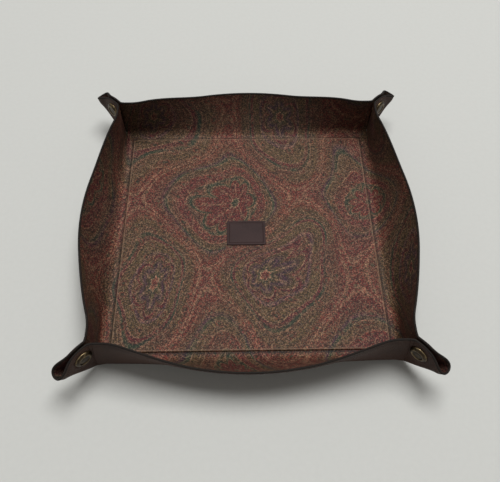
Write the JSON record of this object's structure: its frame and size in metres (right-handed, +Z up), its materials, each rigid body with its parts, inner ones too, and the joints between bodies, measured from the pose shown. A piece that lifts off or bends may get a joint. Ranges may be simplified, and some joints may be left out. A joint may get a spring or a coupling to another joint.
{
  "type": "square tray",
  "caption": "Square catch-all tray folded from lined leather, with low flared walls and pinched snap corners that open so that it lays nearly flat.",
  "frame": {"origin": "centre of the flat underside of the base", "axes": "+Z up out of the open tray, +X to the viewer's right, -Y toward the front wall, which is nearest the viewer in the picture"},
  "size_m": [0.2436, 0.2436, 0.0375],
  "materials": {
    "outer_leather": "dark brown grained leather, near-black painted edge",
    "lining": null,
    "board": "pressed fibre board, hidden inside the base",
    "label_leather": "smooth dark plum-brown leather with a pressed border line",
    "brass": "antique brass, softly polished"
  },
  "bodies": {
    "base": {"base_leather": "outer_leather", "base_board": "board", "base_lining": "lining", "label": "label_leather"},
    "wall_back": {"wall_back_leather": "outer_leather", "wall_back_lining": "lining"},
    "wall_left": {"wall_left_leather": "outer_leather", "wall_left_lining": "lining"},
    "wall_front": {"wall_front_leather": "outer_leather", "wall_front_lining": "lining"},
    "wall_right": {"wall_right_leather": "outer_leather", "wall_right_lining": "lining"},
    "ear_back_at_right": {"ear_back_at_right_leather": "outer_leather", "ear_back_at_right_lining": "lining", "snap_stud_back_right": "brass", "snap_rivet_back_right": "brass"},
    "ear_tip_back_at_right": {"ear_tip_back_at_right_leather": "outer_leather", "ear_tip_back_at_right_lining": "lining"},
    "ear_back_at_left": {"ear_back_at_left_leather": "outer_leather", "ear_back_at_left_lining": "lining", "snap_stud_back_left": "brass", "snap_rivet_back_left": "brass"},
    "ear_tip_back_at_left": {"ear_tip_back_at_left_leather": "outer_leather", "ear_tip_back_at_left_lining": "lining"},
    "ear_left_at_back": {"ear_left_at_back_leather": "outer_leather", "ear_left_at_back_lining": "lining", "snap_cap_back_left": "brass", "snap_socket_back_left": "brass"},
    "ear_tip_left_at_back": {"ear_tip_left_at_back_leather": "outer_leather", "ear_tip_left_at_back_lining": "lining"},
    "ear_left_at_front": {"ear_left_at_front_leather": "outer_leather", "ear_left_at_front_lining": "lining", "snap_stud_front_left": "brass", "snap_rivet_front_left": "brass"},
    "ear_tip_left_at_front": {"ear_tip_left_at_front_leather": "outer_leather", "ear_tip_left_at_front_lining": "lining"},
    "ear_front_at_left": {"ear_front_at_left_leather": "outer_leather", "ear_front_at_left_lining": "lining", "snap_cap_front_left": "brass", "snap_socket_front_left": "brass"},
    "ear_tip_front_at_left": {"ear_tip_front_at_left_leather": "outer_leather", "ear_tip_front_at_left_lining": "lining"},
    "ear_front_at_right": {"ear_front_at_right_leather": "outer_leather", "ear_front_at_right_lining": "lining", "snap_cap_front_right": "brass", "snap_socket_front_right": "brass"},
    "ear_tip_front_at_right": {"ear_tip_front_at_right_leather": "outer_leather", "ear_tip_front_at_right_lining": "lining"},
    "ear_right_at_front": {"ear_right_at_front_leather": "outer_leather", "ear_right_at_front_lining": "lining", "snap_stud_front_right": "brass", "snap_rivet_front_right": "brass"},
    "ear_tip_right_at_front": {"ear_tip_right_at_front_leather": "outer_leather", "ear_tip_right_at_front_lining": "lining"},
    "ear_right_at_back": {"ear_right_at_back_leather": "outer_leather", "ear_right_at_back_lining": "lining", "snap_cap_back_right": "brass", "snap_socket_back_right": "brass"},
    "ear_tip_right_at_back": {"ear_tip_right_at_back_leather": "outer_leather", "ear_tip_right_at_back_lining": "lining"}
  },
  "joints": [
    {"name": "fold_back", "type": "hinge", "parent": "base", "child": "wall_back", "pos_m": [0, 0.10066, 0.00424], "axis": [-1, 0, 0], "range_deg": [0, 55]},
    {"name": "fold_left", "type": "hinge", "parent": "base", "child": "wall_left", "pos_m": [-0.10066, 0, 0.00424], "axis": [0, -1, 0], "range_deg": [0, 55]},
    {"name": "fold_front", "type": "hinge", "parent": "base", "child": "wall_front", "pos_m": [0, -0.10066, 0.00424], "axis": [1, 0, 0], "range_deg": [0, 55]},
    {"name": "fold_right", "type": "hinge", "parent": "base", "child": "wall_right", "pos_m": [0.10066, 0, 0.00424], "axis": [0, 1, 0], "range_deg": [0, 55]},
    {"name": "ear_fold_back_at_right", "type": "hinge", "parent": "wall_back", "child": "ear_back_at_right", "pos_m": [0.10066, 0.10256, 0.00424], "axis": [0.1186, 0, -0.9929], "range_deg": [0, 39.4]},
    {"name": "tip_fold_back_at_right", "type": "hinge", "parent": "ear_back_at_right", "child": "ear_tip_back_at_right", "pos_m": [0.10732, 0.11296, 0.01953], "axis": [0.3913, 0.5352, 0.7486], "range_deg": [0, 80]},
    {"name": "ear_fold_back_at_left", "type": "hinge", "parent": "wall_back", "child": "ear_back_at_left", "pos_m": [-0.10066, 0.10256, 0.00424], "axis": [0.1186, 0, 0.9929], "range_deg": [0, 39.4]},
    {"name": "tip_fold_back_at_left", "type": "hinge", "parent": "ear_back_at_left", "child": "ear_tip_back_at_left", "pos_m": [-0.10732, 0.11296, 0.01953], "axis": [0.3913, -0.5352, -0.7486], "range_deg": [0, 80]},
    {"name": "ear_fold_left_at_back", "type": "hinge", "parent": "wall_left", "child": "ear_left_at_back", "pos_m": [-0.10256, 0.10066, 0.00424], "axis": [0, 0.1186, -0.9929], "range_deg": [0, 39.4]},
    {"name": "tip_fold_left_at_back", "type": "hinge", "parent": "ear_left_at_back", "child": "ear_tip_left_at_back", "pos_m": [-0.11296, 0.10732, 0.01953], "axis": [-0.5352, 0.3913, 0.7486], "range_deg": [0, 80]},
    {"name": "ear_fold_left_at_front", "type": "hinge", "parent": "wall_left", "child": "ear_left_at_front", "pos_m": [-0.10256, -0.10066, 0.00424], "axis": [0, 0.1186, 0.9929], "range_deg": [0, 39.4]},
    {"name": "tip_fold_left_at_front", "type": "hinge", "parent": "ear_left_at_front", "child": "ear_tip_left_at_front", "pos_m": [-0.11296, -0.10732, 0.01953], "axis": [0.5352, 0.3913, -0.7486], "range_deg": [0, 80]},
    {"name": "ear_fold_front_at_left", "type": "hinge", "parent": "wall_front", "child": "ear_front_at_left", "pos_m": [-0.10066, -0.10256, 0.00424], "axis": [-0.1186, 0, -0.9929], "range_deg": [0, 39.4]},
    {"name": "tip_fold_front_at_left", "type": "hinge", "parent": "ear_front_at_left", "child": "ear_tip_front_at_left", "pos_m": [-0.10732, -0.11296, 0.01953], "axis": [-0.3913, -0.5352, 0.7486], "range_deg": [0, 80]},
    {"name": "ear_fold_front_at_right", "type": "hinge", "parent": "wall_front", "child": "ear_front_at_right", "pos_m": [0.10066, -0.10256, 0.00424], "axis": [-0.1186, 0, 0.9929], "range_deg": [0, 39.4]},
    {"name": "tip_fold_front_at_right", "type": "hinge", "parent": "ear_front_at_right", "child": "ear_tip_front_at_right", "pos_m": [0.10732, -0.11296, 0.01953], "axis": [-0.3913, 0.5352, -0.7486], "range_deg": [0, 80]},
    {"name": "ear_fold_right_at_front", "type": "hinge", "parent": "wall_right", "child": "ear_right_at_front", "pos_m": [0.10256, -0.10066, 0.00424], "axis": [0, -0.1186, -0.9929], "range_deg": [0, 39.4]},
    {"name": "tip_fold_right_at_front", "type": "hinge", "parent": "ear_right_at_front", "child": "ear_tip_right_at_front", "pos_m": [0.11296, -0.10732, 0.01953], "axis": [0.5352, -0.3913, 0.7486], "range_deg": [0, 80]},
    {"name": "ear_fold_right_at_back", "type": "hinge", "parent": "wall_right", "child": "ear_right_at_back", "pos_m": [0.10256, 0.10066, 0.00424], "axis": [0, -0.1186, 0.9929], "range_deg": [0, 39.4]},
    {"name": "tip_fold_right_at_back", "type": "hinge", "parent": "ear_right_at_back", "child": "ear_tip_right_at_back", "pos_m": [0.11296, 0.10732, 0.01953], "axis": [-0.5352, -0.3913, -0.7486], "range_deg": [0, 80]}
  ],
  "couplings": [
    {"joint": "fold_back", "follows": "fold_front", "ratio": 1},
    {"joint": "fold_left", "follows": "fold_front", "ratio": 1},
    {"joint": "fold_right", "follows": "fold_front", "ratio": 1},
    {"joint": "ear_fold_back_at_right", "follows": "fold_front", "ratio": 0.71635},
    {"joint": "tip_fold_back_at_right", "follows": "fold_front", "ratio": 1.4545},
    {"joint": "ear_fold_back_at_left", "follows": "fold_front", "ratio": 0.71635},
    {"joint": "tip_fold_back_at_left", "follows": "fold_front", "ratio": 1.4545},
    {"joint": "ear_fold_left_at_back", "follows": "fold_front", "ratio": 0.71635},
    {"joint": "tip_fold_left_at_back", "follows": "fold_front", "ratio": 1.4545},
    {"joint": "ear_fold_left_at_front", "follows": "fold_front", "ratio": 0.71635},
    {"joint": "tip_fold_left_at_front", "follows": "fold_front", "ratio": 1.4545},
    {"joint": "ear_fold_front_at_left", "follows": "fold_front", "ratio": 0.71635},
    {"joint": "tip_fold_front_at_left", "follows": "fold_front", "ratio": 1.4545},
    {"joint": "ear_fold_front_at_right", "follows": "fold_front", "ratio": 0.71635},
    {"joint": "tip_fold_front_at_right", "follows": "fold_front", "ratio": 1.4545},
    {"joint": "ear_fold_right_at_front", "follows": "fold_front", "ratio": 0.71635},
    {"joint": "tip_fold_right_at_front", "follows": "fold_front", "ratio": 1.4545},
    {"joint": "ear_fold_right_at_back", "follows": "fold_front", "ratio": 0.71635},
    {"joint": "tip_fold_right_at_back", "follows": "fold_front", "ratio": 1.4545}
  ]
}
